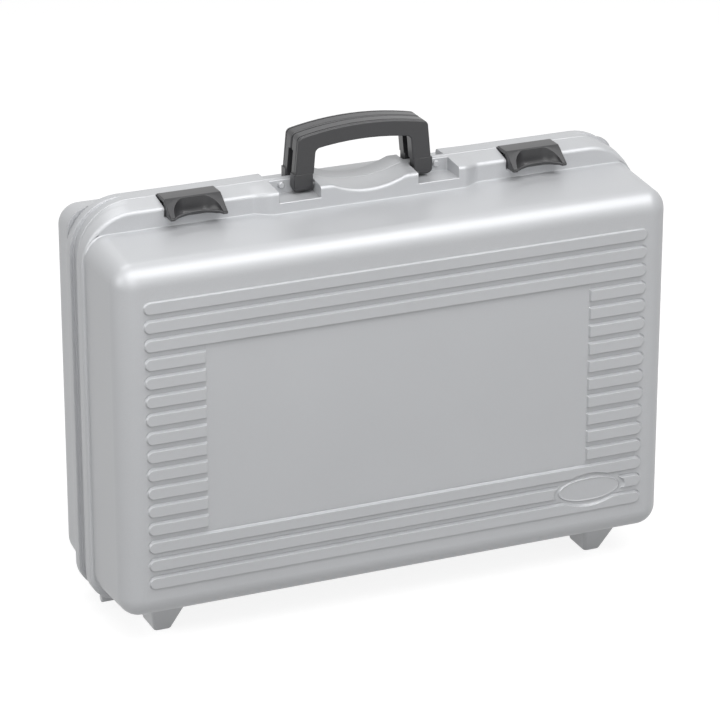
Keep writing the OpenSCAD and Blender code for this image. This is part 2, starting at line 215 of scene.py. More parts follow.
def combine(base, other, operation):
    """Boolean of two closed meshes; the second is used up."""
    modifier = base.modifiers.new("combine", "BOOLEAN")
    modifier.operation = operation
    modifier.object = other
    modifier.solver = "MANIFOLD"
    bpy.context.view_layer.update()
    graph = bpy.context.evaluated_depsgraph_get()
    mesh = bpy.data.meshes.new_from_object(base.evaluated_get(graph))
    base.modifiers.clear()
    base.data = mesh
    bpy.data.objects.remove(other)
    return base


def smooth(obj, angle=32):
    """Smooth shading with edges sharper than the angle kept, flats kept flat."""
    bm = bmesh.new()
    bm.from_mesh(obj.data)
    limit = math.radians(angle)
    for face in bm.faces:
        face.smooth = True
    for edge in bm.edges:
        turn = edge.calc_face_angle(0) if len(edge.link_faces) == 2 else 0
        edge.smooth = turn < limit
    bm.to_mesh(obj.data)
    bm.free()
    modifier = obj.modifiers.new("flat faces stay flat", "WEIGHTED_NORMAL")
    modifier.keep_sharp = True
    modifier.weight = 60
    return obj


def loft(rings, cap_first=True, cap_last=True):
    """Points and faces of a skin over rings of equal point count."""
    count = len(rings[0])
    points = [p for ring in rings for p in ring]
    faces = []
    for i in range(len(rings) - 1):
        for j in range(count):
            k = (j + 1) % count
            faces.append((i * count + j, i * count + k, (i + 1) * count + k, (i + 1) * count + j))
    if cap_first:
        faces.append(tuple(range(count)))
    if cap_last:
        last = (len(rings) - 1) * count
        faces.append(tuple(range(last + count - 1, last - 1, -1)))
    return points, faces


def block(name, low, high):
    x0, y0, z0 = low
    x1, y1, z1 = high
    ring0 = [(x0, y0, z0), (x1, y0, z0), (x1, y1, z0), (x0, y1, z0)]
    ring1 = [(x, y, z1) for x, y, low_z in ring0]
    return mesh_object(name, *loft([ring0, ring1]))


def circle(radius, steps):
    angles = (2 * math.pi * i / steps for i in range(steps))
    return [(radius * math.cos(a), radius * math.sin(a)) for a in angles]


def rod_x(name, x0, x1, y, z, radius, chamfer=0.0, steps=32):
    """Round rod along X, with chamfered ends if a chamfer is given."""
    ends = [(x0, radius), (x1, radius)]
    if chamfer:
        ends = [(x0, radius - chamfer), (x0 + chamfer, radius), (x1 - chamfer, radius),
                (x1, radius - chamfer)]
    rings = [[(x, y + a, z + b) for a, b in circle(r, steps)] for x, r in ends]
    return mesh_object(name, *loft(rings))


def rod_y(name, x, y0, y1, z, radius, chamfer, steps=32):
    """Round rod along Y from a plain end at y0 to a chamfered end at y1."""
    turn = 1 if y1 > y0 else -1
    ends = [(y0, radius), (y1 - turn * chamfer, radius), (y1, radius - chamfer)]
    rings = [[(x + a, y, z + b) for a, b in circle(r, steps)] for y, r in ends]
    return mesh_object(name, *loft(rings))


def quarter(steps):
    """Angles of a quarter turn."""
    return [math.radians(90 * i / steps) for i in range(steps + 1)]


def ease(t):
    t = min(max(t, 0), 1)
    return t * t * (3 - 2 * t)


# Shells

CORNER_STEPS = 14
DISH_STEPS = 26
SLOPE_STEPS = 16


def top_samples():
    """Fixed X positions along a shell's top, denser at the dish and the swelling's slopes."""
    dish = [-DISH_HALF_W + 2 * DISH_HALF_W * i / DISH_STEPS for i in range(DISH_STEPS + 1)]
    slope = [SWELL_HALF_W + SWELL_SLOPE * i / SLOPE_STEPS for i in range(SLOPE_STEPS + 1)]
    return sorted(dish + slope + [-x for x in slope] + [-60, 60, -120, 120, -150, 150])


def swell(x):
    """Share of the swelling's depth at X."""
    return ease((SWELL_HALF_W + SWELL_SLOPE - abs(x)) / SWELL_SLOPE)


def dish(x, v):
    """Depth of the finger dish at X, narrower and steeper towards the face."""
    radius = (DISH_HALF_W ** 2 + DISH_H ** 2) / (2 * DISH_H)
    if abs(x) >= DISH_HALF_W:
        return 0
    depth = DISH_H - radius + math.sqrt(radius ** 2 - x ** 2)
    share = max(v, 0) / SWELL_DEPTH
    return max(0, depth * (1 + DISH_STEEPER * share) - DISH_NARROWER * share)


def ring(place, v, half_w, low, high, r_low, r_high, bulge=0.0, dished=0.0):
    """One section of a shell: a rectangle with round corners at distance v from the seam.

    high is a function of v; bulge is how far the swelling moves the section outwards,
    and dished is how far the finger dish's edge is rounded there, or None without a dish.
    """
    points = []
    top = high(v)

    def corner(cx, cz, radius, start):
        for i in range(CORNER_STEPS + 1):
            a = math.radians(start - 90 * i / CORNER_STEPS)
            points.append((cx + radius * math.cos(a), place(v), cz + radius * math.sin(a)))

    for x in top_samples():
        out = v + bulge * swell(x)
        z = high(out)
        if dished is not None:
            z += SWELL_LEVEL * swell(x) * (RIM_TOP - dished - z) - dish(x, out)
        points.append((x, place(out), z))
    corner(half_w - r_high, top - r_high, r_high, 90)
    for t in (0.25, 0.5, 0.75):
        z0, z1 = top - r_high, low + r_low
        points.append((half_w, place(v), z0 + (z1 - z0) * t))
    corner(half_w - r_low, low + r_low, r_low, 0)
    for t in (0.25, 0.5, 0.75):
        x0 = half_w - r_low
        points.append((x0 - 2 * x0 * t, place(v), low))
    corner(-half_w + r_low, low + r_low, r_low, -90)
    for t in (0.25, 0.5, 0.75):
        z0, z1 = low + r_low, top - r_high
        points.append((-half_w, place(v), z0 + (z1 - z0) * t))
    corner(-half_w + r_high, top - r_high, r_high, -180)
    return points


def slope_line(top, draft, start, end):
    """Height of a body's top at v, falling by its draft from start to end."""
    return lambda v: top + draft * (1 - min(max((v - start) / (end - start), 0), 1))


def outer_rings(place, depth, top, bottom, channel, fall, swell_out):
    """Sections of a shell's outside, from the seam to the rounded edge of its face."""
    rim_half_w = BODY_HALF_W + RIM_PROUD

    def rim_high(inset):
        return lambda v: RIM_TOP - fall * v / RIM_DEPTH - inset

    inner_low = RIM_BOTTOM + RIM_PROUD
    soft = CHANNEL_SOFT
    rings = []
    gap = SEAM_GAP / 2
    c = SEAM_CHAMFER
    rings.append(ring(place, gap, BODY_HALF_W - c, inner_low + c, rim_high(c),
                      RIM_BOTTOM_R - c, RIM_TOP_R - c, dished=c))
    rings.append(ring(place, gap + c, BODY_HALF_W, inner_low, rim_high(0),
                      RIM_BOTTOM_R, RIM_TOP_R))
    rings.append(ring(place, channel - soft, BODY_HALF_W, inner_low, rim_high(0),
                      RIM_BOTTOM_R, RIM_TOP_R))
    rings.append(ring(place, channel - 0.2, BODY_HALF_W + 0.3, inner_low - 0.3, rim_high(0),
                      RIM_BOTTOM_R, RIM_TOP_R))
    rings.append(ring(place, channel, rim_half_w - soft, RIM_BOTTOM + soft, rim_high(0),
                      RIM_BOTTOM_R, RIM_TOP_R))
    rings.append(ring(place, channel + 0.25 * soft, rim_half_w - 0.3 * soft,
                      RIM_BOTTOM + 0.3 * soft, rim_high(0), RIM_BOTTOM_R, RIM_TOP_R))
    rings.append(ring(place, channel + soft, rim_half_w, RIM_BOTTOM, rim_high(0),
                      RIM_BOTTOM_R, RIM_TOP_R))
    for a in quarter(4):
        inset = RIM_EDGE * (1 - math.cos(a))
        v = RIM_DEPTH - RIM_EDGE + RIM_EDGE * math.sin(a)
        rings.append(ring(place, v, rim_half_w - inset, RIM_BOTTOM + inset, rim_high(inset),
                          RIM_BOTTOM_R - inset, RIM_TOP_R - inset, bulge=swell_out,
                          dished=inset))
    start = channel + 2
    end = depth - RIB_PROUD - FACE_EDGE_R
    body_high = slope_line(top, BODY_DRAFT, start, end)

    def body_ring(v, inset=0.0, bulge=0.0, proud=0.0):
        t = min(max((v - start) / (end - start), 0), 1)
        radius = BODY_CORNER_R - (BODY_CORNER_R - FACE_EDGE_R) * t
        if inset:
            radius = FACE_EDGE_R - inset * (FACE_EDGE_R - FACE_CORNER_R) / FACE_EDGE_R
        half_w = BODY_HALF_W + SIDE_DRAFT * (1 - t) - inset + min(proud, 0.6)
        low = bottom - BODY_DRAFT * (1 - t) + inset - proud
        high = lambda u: body_high(u) - inset + proud
        return ring(place, v, half_w, low, high, radius, radius, bulge=bulge, dished=None)

    fillet = RIM_FILLET
    rings.append(body_ring(RIM_DEPTH, bulge=swell_out, proud=fillet))
    rings.append(body_ring(RIM_DEPTH + 0.3 * fillet, bulge=swell_out, proud=0.35 * fillet))
    rings.append(body_ring(RIM_DEPTH + fillet, bulge=swell_out))
    rings.append(body_ring(RIM_DEPTH + SWELL_DEPTH - 6))
    for a in quarter(12):
        rings.append(body_ring(end + FACE_EDGE_R * math.sin(a),
                               inset=FACE_EDGE_R * (1 - math.cos(a))))
    return rings


def spread(values, least=0.02):
    """Sorted values with near repeats left out."""
    kept = []
    for value in sorted(values):
        if not kept or value - kept[-1] > least:
            kept.append(value)
    return kept


def between(start, end, step):
    count = max(1, round((end - start) / step))
    return [start + (end - start) * i / count for i in range(count + 1)]


def rib_middle(index):
    return FRONT_TOP - RIB_TOP_GAP - RIB_H / 2 - index * RIB_PITCH


def face_columns(has_badge):
    edge = [-1.2, -0.7, -0.35, 0, 0.35, 0.7, 1.2]
    ends = between(RIB_HALF_L - RIB_H / 2 - 1, RIB_HALF_L + 1.3, 0.4)
    half = spread(ends + [PANEL_HALF_W + e for e in edge] + [60, 120, 150, 185])
    columns = half + [-x for x in half] + [0]
    if has_badge:
        reach = BADGE_HALF_W + BADGE_GROOVE + 1
        columns += between(BADGE_X - reach, BADGE_X + reach, 0.6)
    return spread(columns, 0.15)


def face_rows(bottom, has_badge):
    edge = [-1.2, -0.8, -0.45, -0.2, 0, 0.2, 0.45, 0.8, 1.4, 2.2, 3.2, RIB_H / 2]
    rows = []
    for i in range(RIB_COUNT):
        middle = rib_middle(i)
        rows += [middle + RIB_H / 2 - e for e in edge]
        rows += [middle - RIB_H / 2 + e for e in edge]
    rows += [rib_middle(0) + RIB_H / 2 + 2.5, rib_middle(RIB_COUNT - 1) - RIB_H / 2 - 2.5]
    if has_badge:
        reach = BADGE_HALF_H + BADGE_GROOVE + 1
        middle = bottom + BADGE_UP
        rows += between(middle - reach, middle + reach, 0.6)
    return spread(rows, 0.12)


def face_height(x, z, bottom, has_badge):
    """How far the ribbed face stands over its base plane at one point."""
    first = rib_middle(0)
    last = rib_middle(RIB_COUNT - 1)
    near = round((first - z) / RIB_PITCH)
    near = min(max(near, 0), RIB_COUNT - 1)
    middle = rib_middle(near)
    ax = abs(x)
    reach = max(ax - (RIB_HALF_L - RIB_H / 2), 0)
    d = math.hypot(reach, z - middle) - RIB_H / 2
    short = FULL_RIBS <= near < RIB_COUNT - FULL_RIBS
    if short:
        d = max(d, PANEL_HALF_W - ax)
    panel_top = rib_middle(FULL_RIBS - 1) - RIB_H / 2 - 0.4 * (RIB_PITCH - RIB_H)
    panel_low = rib_middle(RIB_COUNT - FULL_RIBS) + RIB_H / 2 + 0.4 * (RIB_PITCH - RIB_H)
    panel = min(PANEL_HALF_W - ax, panel_top - z, z - panel_low)
    pad = None
    if has_badge:
        bx = (x - BADGE_X)
        bz = (z - bottom - BADGE_UP)
        length = math.hypot(bx / BADGE_HALF_W, bz / BADGE_HALF_H)
        mean = math.hypot(bx, bz) / max(length, 0.001)
        pad = (1 - length) * mean
        d = max(d, pad + BADGE_GROOVE)
    height = RIB_PROUD * ease(0.5 - d / EDGE_SOFT)
    inside = ease((RIB_HALF_L + 1 - ax) / 7) if last - 2 < z < first + 2 else 0
    floor = -VALLEY_SUNK * inside * ease((d - 0.2) / 1.2)
    up = ease((z - middle) / (RIB_H / 2)) if near > 0 else 0
    floor -= CREASE_SUNK * up * math.exp(-((d - 0.75) / 0.45) ** 2)
    floor *= ease((d + 0.45) / 0.6)
    if panel > -0.6:
        share = ease(0.5 + panel / 1.2)
        floor = floor * (1 - share) - PANEL_SUNK * share
        height *= 1 - share
    if pad is not None and pad > -BADGE_GROOVE:
        rim = 0.45 * math.exp(-((pad - 0.9) / 0.6) ** 2)
        height = max(height, 0.85 * ease(0.5 + pad / EDGE_SOFT) + rim)
        floor = max(floor, -VALLEY_SUNK)
    return height + floor


def face_grid(place, depth, bottom, has_badge):
    """Points of the ribbed face, row by row from its top."""
    base = depth - RIB_PROUD
    columns = face_columns(has_badge)
    rows = face_rows(bottom, has_badge)[::-1]
    edge = {rows[0], rows[-1], columns[0], columns[-1]}
    grid = []
    for z in rows:
        line = []
        for x in columns:
            flat = x in edge or z in edge
            h = 0 if flat else face_height(x, z, bottom, has_badge)
            line.append((x, place(base + h), z))
        grid.append(line)
    return grid


def outer_solid(name, place, depth, top, bottom, channel, fall, has_badge, swell_out):
    """Closed outside of a shell: lofted sections with the ribbed face set into the last one."""
    rings = outer_rings(place, depth, top, bottom, channel, fall, swell_out)
    points, faces = loft(rings, cap_first=True, cap_last=False)
    count = len(rings[0])
    start = (len(rings) - 1) * count
    grid = face_grid(place, depth, bottom, has_badge)
    wide = len(grid[0])
    tall = len(grid)
    first = len(points)
    for line in grid:
        points += line

    def at(row, column):
        return first + row * wide + column

    for i in range(tall - 1):
        for j in range(wide - 1):
            faces.append((at(i, j), at(i, j + 1), at(i + 1, j + 1), at(i + 1, j)))
    # The flat strip between the last section and the grid, split at the four corners.
    samples = len(top_samples())
    side = CORNER_STEPS + 1 + 3
    middles = [samples + k * side + CORNER_STEPS // 2 for k in range(4)]
    borders = [
        [at(0, j) for j in range(wide)],
        [at(i, wide - 1) for i in range(tall)],
        [at(tall - 1, j) for j in range(wide - 1, -1, -1)],
        [at(i, 0) for i in range(tall - 1, -1, -1)],
    ]
    for k in range(4):
        begin = middles[k - 1]
        end = middles[k]
        if end < begin:
            walk = list(range(begin, count)) + list(range(0, end + 1))
        else:
            walk = list(range(begin, end + 1))
        faces.append(tuple([start + w for w in walk] + borders[k][::-1]))
    return mesh_object(name, points, faces)


def hollow(name, place, depth, top, bottom, channel, fall):
    """The space inside a shell, less the blocks round its pockets and latch bays."""
    start, face = channel + 2, depth - RIB_PROUD - WALL
    end = depth - RIB_PROUD - FACE_EDGE_R
    radius = FACE_EDGE_R - WALL
    high = slope_line(top - WALL, BODY_DRAFT, start, end)
    rings = []

    def inner(v, inset, r, raise_to=None):
        t = min(max((v - start) / (end - start), 0), 1)
        line = (lambda u: raise_to) if raise_to else (lambda u: high(u) - inset)
        r_high = RIM_TOP_R - WALL if raise_to else r
        return ring(place, v, BODY_HALF_W - WALL - inset - 1 * (raise_to is not None),
                    bottom + WALL - BODY_DRAFT * (1 - t) + inset, line, r, r_high, dished=None)

    rim_inside = RIM_TOP - fall - WALL
    rings.append(inner(-2, 0, BODY_CORNER_R - WALL, rim_inside))
    rings.append(inner(RIM_DEPTH - WALL - 1, 0, BODY_CORNER_R - WALL, rim_inside))
    rings.append(inner(RIM_DEPTH - WALL, 0, BODY_CORNER_R - WALL))
    for a in quarter(8):
        inset = radius * (1 - math.cos(a))
        rings.append(inner(face - radius + radius * math.sin(a), inset,
                           max(BODY_CORNER_R - WALL - inset, 1)))
    space = mesh_object(name, *loft(rings))
    low_v, high_v = sorted((place(-4), place(SWELL_DEPTH + 3)))
    blocks = [block("keep", (-POCKET_OUT - WALL, low_v, POCKET_FLOOR - WALL),
                    (POCKET_OUT + WALL, high_v, RIM_TOP + 2))]
    bay = LATCH_W / 2 + SIDE_GAP + WALL
    for s in (-1, 1):
        blocks.append(block("keep", (s * LATCH_X - bay, low_v, BAY_FLOOR - WALL),
                            (s * LATCH_X + bay, high_v, RIM_TOP + 2)))
    return combine(space, join("keep", blocks), "DIFFERENCE")


def notch(name, place, x0, x1, back, front, floor, fall, flare=0.9, round_r=1.2):
    """Cutter for a pocket open at the top and the front, with flared edges."""
    def rim_line(v):
        return RIM_TOP - fall * v / RIM_DEPTH

    plan = [(x0 - 2 * flare, front + 2 * flare), (x0 - flare, front + flare / 2),
            (x0, front - flare / 2)]
    plan += [(x0 + round_r - round_r * math.cos(a), back + round_r - round_r * math.sin(a))
             for a in (math.radians(15 * i) for i in range(7))]
    plan += [(x1 - round_r + round_r * math.sin(a), back + round_r - round_r * math.cos(a))
             for a in (math.radians(15 * i) for i in range(7))]
    plan += [(x1, front - flare / 2), (x1 + flare, front + flare / 2),
             (x1 + 2 * flare, front + 2 * flare)]

    def low(v):
        return floor - max(0, v - (front - flare / 2))

    def widened(x, v, grow):
        x += grow if x > (x0 + x1) / 2 else -grow
        if v < back + round_r + 0.01:
            v -= grow
        return x, v

    rings = [[(x, place(v), low(v)) for x, v in plan],
             [(x, place(v), rim_line(v) - flare / 2) for x, v in plan]]
    upper = [widened(x, v, flare) for x, v in plan]
    rings.append([(x, place(v), rim_line(v) + flare / 2) for x, v in upper])
    rings.append([(x, place(v), rim_line(v) + 6) for x, v in upper])
    points, faces = loft(rings, cap_first=False)
    n = len(plan)
    faces.append(tuple(range(2, n - 2)))
    faces.append((2, n - 3, n - 2, 1))
    faces.append((1, n - 2, n - 1, 0))
    return mesh_object(name, points, faces)


def foot(name, place, depth, bottom, x):
    """A tapered foot with rounded edges, reaching up into the body."""
    far = min(FOOT_START + FOOT_L + FOOT_FLARE, depth - FACE_EDGE_R)
    rings = []
    body = bottom + FOOT_ROOT
    levels = [(0, 1.3), (0.35, 0.45), (1.2, 0), (bottom - 9, 0), (bottom - 1, 0), (body, 0)]
    for z, inset in levels:
        t = min(z / (bottom - 1), 1.15)
        half = FOOT_HALF_W + (FOOT_TOP_HALF_W - FOOT_HALF_W) * t - inset
        v0 = FOOT_START - t + inset
        v1 = FOOT_START + FOOT_L + (far - 1 - FOOT_START - FOOT_L) * t - inset
        r = FOOT_EDGE_R - inset
        points = []
        for cx, cv, start in ((x + half - r, v1 - r, 90), (x + half - r, v0 + r, 0),
                              (x - half + r, v0 + r, -90), (x - half + r, v1 - r, -180)):
            for i in range(7):
                a = math.radians(start - 15 * i)
                points.append((cx + r * math.cos(a), place(cv + r * math.sin(a)), z))
        rings.append(points)
    return mesh_object(name, *loft(rings))


def knuckle(name, place, x0, x1):
    """One hinge knuckle with its web up to the rim."""
    rod = rod_x(name, x0, x1, place(0), HINGE_Z, KNUCKLE_R, 0.35)
    y0, y1 = sorted((place(SEAM_GAP / 2), place(KNUCKLE_R)))
    web_top = RIM_BOTTOM + RIM_PROUD + WALL
    web = block("web", (x0, y0, HINGE_Z), (x1, y1, web_top))
    return combine(rod, web, "UNION")


def shell(name, place, depth, top, bottom, channel, fall, has_badge, phase, front):
    swell_out = SWELL_DEPTH - RIM_DEPTH if front else 0
    solid = outer_solid(name, place, depth, top, bottom, channel, fall, has_badge, swell_out)
    cutters = []
    for s in (-1, 1):
        x0, x1 = sorted((s * POCKET_IN, s * POCKET_OUT))
        cutters.append(notch("pocket", place, x0, x1, POCKET_BACK, SWELL_DEPTH, POCKET_FLOOR,
                             fall * (1 - SWELL_LEVEL)))
        half = LATCH_W / 2 + SIDE_GAP
        x0, x1 = s * LATCH_X - half, s * LATCH_X + half
        if front:
            cutters.append(notch("bay", place, x0, x1, -3, RIM_DEPTH, BAY_FLOOR, fall))
        else:
            cutters.append(rod_x("trough", x0, x1, SEAM_Y - LATCH_PIVOT_IN, LATCH_PIVOT_Z,
                                 BARREL_R + BARREL_GAP, steps=48))
    cutters.append(hollow("inside", place, depth, top, bottom, channel, fall))
    for cutter in cutters:
        combine(solid, cutter, "DIFFERENCE")
    added = []
    for s in (-1, 1):
        added.append(foot("foot", place, depth, bottom, s * FOOT_X))
        for i in range(phase, KNUCKLES, 2):
            a = HINGE_END_X - i * KNUCKLE_PITCH - KNUCKLE_GAP / 2
            b = a - KNUCKLE_PITCH + KNUCKLE_GAP
            x0, x1 = sorted((s * a, s * b))
            added.append(knuckle("knuckle", place, x0, x1))
        added.append(rod_y("peg", s * PEG_X, place(POCKET_BACK - 0.5), place(POCKET_BACK + 2),
                           PIVOT_Z, PEG_R, 0.7))
        if not front:
            for t in (-1, 1):
                added.append(lug("lug", s * LATCH_X + t * LUG_X))
    for piece in added:
        combine(solid, piece, "UNION")
    smooth(solid)
    return solid


def lug(name, x):
    """A round-topped lug that carries the latch pin, on a foot that runs to the rear shell."""
    y = SEAM_Y - LATCH_PIVOT_IN
    z = LATCH_PIVOT_Z
    outline = [(LUG_R * math.cos(a), LUG_R * math.sin(a))
               for a in (math.radians(180 - 15 * i) for i in range(13))]
    reach = LATCH_PIVOT_IN + 3
    outline += [(LUG_R, -5), (reach, -5), (reach, -8), (-LUG_R, -8)]
    rings = [[(x + s * LUG_W / 2, y + a, z + b) for a, b in outline] for s in (-1, 1)]
    piece = mesh_object(name, *loft(rings))
    bore = rod_x("bore", x - LUG_W, x + LUG_W, y, z, LATCH_PIN_R)
    return combine(piece, bore, "DIFFERENCE")


# Handles and latches

def rounded_outline(corners, steps=8):
    """A polygon with each corner (x, z, radius) turned into an arc."""
    points = []
    count = len(corners)
    for i in range(count):
        x, z, radius = corners[i]
        here = Vector((x, z))
        before = (Vector(corners[i - 1][:2]) - here).normalized()
        after = (Vector(corners[(i + 1) % count][:2]) - here).normalized()
        if radius == 0:
            points.append(here)
            continue
        half = before.angle(after) / 2
        middle = here + (before + after).normalized() * (radius / math.sin(half))
        start = here + before * (radius / math.tan(half)) - middle
        turn = start.angle_signed(here + after * (radius / math.tan(half)) - middle)
        for k in range(steps + 1):
            a = -turn * k / steps
            points.append(middle + Vector((start.x * math.cos(a) - start.y * math.sin(a),
                                           start.x * math.sin(a) + start.y * math.cos(a))))
    return points


def inward(points):
    """Mitred inward directions of a closed outline that runs clockwise."""
    result = []
    for i, here in enumerate(points):
        a = (here - points[i - 1]).normalized()
        b = (points[(i + 1) % len(points)] - here).normalized()
        na, nb = Vector((a.y, -a.x)), Vector((b.y, -b.x))
        result.append((na + nb) / (1 + na.dot(nb)))
    return result


def arch_points(half_w, radius, turn):
    """Points along the handle's arch at a given radius, without its ends."""
    centre = HANDLE_TOP - HANDLE_ARC_R
    return [(turn * x, centre + math.sqrt(radius ** 2 - x ** 2), 0)
            for x in between(-half_w, half_w, 9)[1:-1]]


def arch_end(half_w, radius):
    return HANDLE_TOP - HANDLE_ARC_R + math.sqrt(radius ** 2 - half_w ** 2)


def handle(name, place):
    """An arched grip with two flaring legs, and a thinner round foot under each leg."""
    top_w, in_w = HANDLE_TOP_HALF_W, LEG_IN - HANDLE_IN_TAPER
    in_r = HANDLE_ARC_R - GRIP_H
    low = LEG_STEP_Z
    share = (low - PIVOT_Z + LEG_FOOT_T / 2) / (HANDLE_TOP - PIVOT_Z)
    low_w, low_in = HANDLE_HALF_W - HANDLE_TAPER * share, LEG_IN - HANDLE_IN_TAPER * share
    corners = [(-low_w, low, 0), (-top_w, arch_end(top_w, HANDLE_ARC_R), HANDLE_CORNER_R)]
    corners += arch_points(top_w, HANDLE_ARC_R, 1)
    corners += [(top_w, arch_end(top_w, HANDLE_ARC_R), HANDLE_CORNER_R), (low_w, low, 0),
                (low_in, low, 0), (in_w, arch_end(in_w, in_r), HANDLE_CORNER_R)]
    corners += arch_points(in_w, in_r, -1)
    corners += [(-in_w, arch_end(in_w, in_r), HANDLE_CORNER_R), (-low_in, low, 0)]
    outline = rounded_outline(corners)
    inwards = inward(outline)
    groove = [GROOVE_DEEP * ease((p.y - HANDLE_TOP + 12) / 5)
              if abs(p.x) > in_w + 4 or p.y > arch_end(in_w, in_r) + 6 else 0 for p in outline]
    v0, v1 = HANDLE_GAP / 2, HANDLE_GAP / 2 + HANDLE_T
    bevel = [(HANDLE_BEVEL * (1 - math.cos(a)), HANDLE_BEVEL * (1 - math.sin(a)))
             for a in quarter(4)]
    stations = [(v0 + along, inset, 0) for along, inset in bevel]
    stations += [(GROOVE_V, 0, 0), (GROOVE_V + 0.15, 0, 1), (GROOVE_V + GROOVE_W - 0.15, 0, 1),
                 (GROOVE_V + GROOVE_W, 0, 0)]
    stations += [(v1 - along, inset, 0) for along, inset in bevel[::-1]]
    rings = []
    for v, inset, sunk in stations:
        rings.append([(p.x + n.x * (inset + sunk * g), place(v), p.y + n.y * (inset + sunk * g))
                      for p, n, g in zip(outline, inwards, groove)])
    grip = mesh_object(name, *loft(rings), split=True)
    y0, y1 = sorted((place(-2), place(v1 - LEG_FOOT_T)))
    reach = HANDLE_HALF_W + 10
    top = HANDLE_TOP - HANDLE_ARCH - GRIP_H + 1
    apart = block("apart", (-reach, y0, PIVOT_Z), (reach, y1, top))
    combine(grip, apart, "DIFFERENCE")
    for s in (-1, 1):
        combine(grip, leg_foot("leg_foot", place, s, v1), "UNION")
        bore = rod_x("bore", *sorted((s * (LEG_IN - 3), s * PIN_OUTER_X)),
                     place(v1 - LEG_FOOT_T / 2), PIVOT_Z, HANDLE_PIN_R + PIN_CLEAR)
        combine(grip, bore, "DIFFERENCE")
    return smooth(grip, 38)


def leg_foot(name, place, side, v1):
    """The lower end of a handle's leg, thinner and round about its hinge pin."""
    half = LEG_FOOT_T / 2
    middle = v1 - half
    rings = []
    inner, outer = LEG_IN + 0.25, HANDLE_HALF_W - 0.1
    stations = [(inner, 0.7), (inner + 0.3, 0.25), (inner + 0.9, 0)]
    stations += [(outer - LEG_FOOT_R * (1 - math.sin(a)), LEG_FOOT_R * (1 - math.cos(a)))
                 for a in quarter(4)]
    for x, inset in stations:
        low = half - inset
        wide = half - 0.3 * inset
        points = [(side * x, place(middle - wide), LEG_STEP_Z + 0.6),
                  (side * x, place(middle + wide), LEG_STEP_Z + 0.6)]
        for i in range(17):
            a = math.radians(-180 * i / 16)
            points.append((side * x, place(middle + wide * math.cos(a)),
                           PIVOT_Z + low * math.sin(a)))
        rings.append(points)
    return mesh_object(name, *loft(rings))


def curve(points, steps):
    """Points after the first along a cubic curve with four control points."""
    line = []
    for t in (i / steps for i in range(1, steps + 1)):
        weights = ((1 - t) ** 3, 3 * t * (1 - t) ** 2, 3 * t * t * (1 - t), t ** 3)
        line.append(tuple(sum(w * p[k] for w, p in zip(weights, points)) for k in (0, 1)))
    return line


def latch_section(x):
    """Outline of a latch at X from its middle: forward and up from its pivot."""
    lip_w = LIP_Z - LATCH_PIVOT_Z
    half = LATCH_W / 2
    scoop = half - LATCH_CORNER_W
    ax = abs(x)
    rise = 1 - min(half - ax, LATCH_EDGE) / LATCH_EDGE
    edge = LATCH_EDGE_DROP * (1 - math.sqrt(max(0, 1 - rise ** 2)))
    arch = max(0, 1 - (ax / scoop) ** 2) ** 0.7
    lip_u = LATCH_REACH - LIP_IN * arch
    lip_low = lip_w + LIP_UP * arch
    lip_top = lip_low + LIP_T + LIP_CROWN * arch
    reach = min(max((ax - SCOOP_TOP_HALF_W) / (scoop - SCOOP_TOP_HALF_W), 0), 1)
    bound = (1 - math.sqrt(1 - reach ** 2)) if ax < scoop else 1
    deep = math.sqrt(1 - reach ** 2) if ax < scoop else 0
    plate = [(0, BARREL_R), (LATCH_CREASE - 1.1, BARREL_R),
             (LATCH_CREASE - 0.35, BARREL_R - 0.08), (LATCH_CREASE + 0.3, BARREL_R - 0.5)]
    slope = [(LATCH_CREASE + (LATCH_REACH - LATCH_CREASE) * t,
              BARREL_R + (lip_w + LIP_T - BARREL_R) * t)
             for t in (0.03 + (0.97 * bound - 0.03) * i / 6 for i in range(1, 7))]
    if bound < 0.04:
        slope = [(LATCH_CREASE + 0.35 + 0.01 * i, BARREL_R - 0.52 - 0.01 * i) for i in range(6)]
    start_u, start_w = slope[-1]
    end_u, end_w = lip_u - 1.3, lip_top
    plain = 1 - deep
    first = (start_u + 0.2 * deep + (end_u - start_u) * 0.33 * plain,
             start_w + (BOWL_LOW - start_w) * deep + (end_w - start_w) * 0.33 * plain)
    second = (start_u + 1.5 * deep + (end_u - start_u) * 0.67 * plain,
              start_w + (BOWL_LOW - 3 - start_w) * deep + (end_w - start_w) * 0.67 * plain)
    bowl = curve([(start_u, start_w), first, second, (end_u, end_w)], 12)
    lip = [(lip_u - 0.35, lip_top - 0.1), (lip_u, lip_top - 0.5), (lip_u - 0.6, lip_low)]
    floor_u = min(start_u + 6, lip_u - 2.4)
    floor_w = min(lip_low, lip_w + 0.1)
    under = [(lip_u - 1.6, lip_low), (floor_u, floor_w), (LATCH_CREASE - 0.5, floor_w),
             (LATCH_CREASE - 1.2, BARREL_R - LATCH_T), (0, BARREL_R - LATCH_T)]
    if ax > half - LATCH_LEG_T:
        under[1] = (LATCH_CREASE + LATCH_LEG_L, lip_w + 0.1)
    outside = [(u, w - (edge if w > lip_top - 0.3 else 0)) for u, w in plate + slope + bowl]
    return outside + lip + under


def latch_rings(side):
    """Sections of a latch across its width: plate, sloping front, finger scoop and lip."""
    half = LATCH_W / 2
    scoop = half - LATCH_CORNER_W
    columns = [half, half - 0.25, half - 0.7, half - 2, scoop]
    columns += between(0, scoop - 0.7, 1.2)
    columns = spread(columns + [-c for c in columns], 0.1)
    return [[(side * LATCH_X + x, SEAM_Y - LATCH_PIVOT_IN - u, LATCH_PIVOT_Z + w)
             for u, w in latch_section(x)] for x in columns]


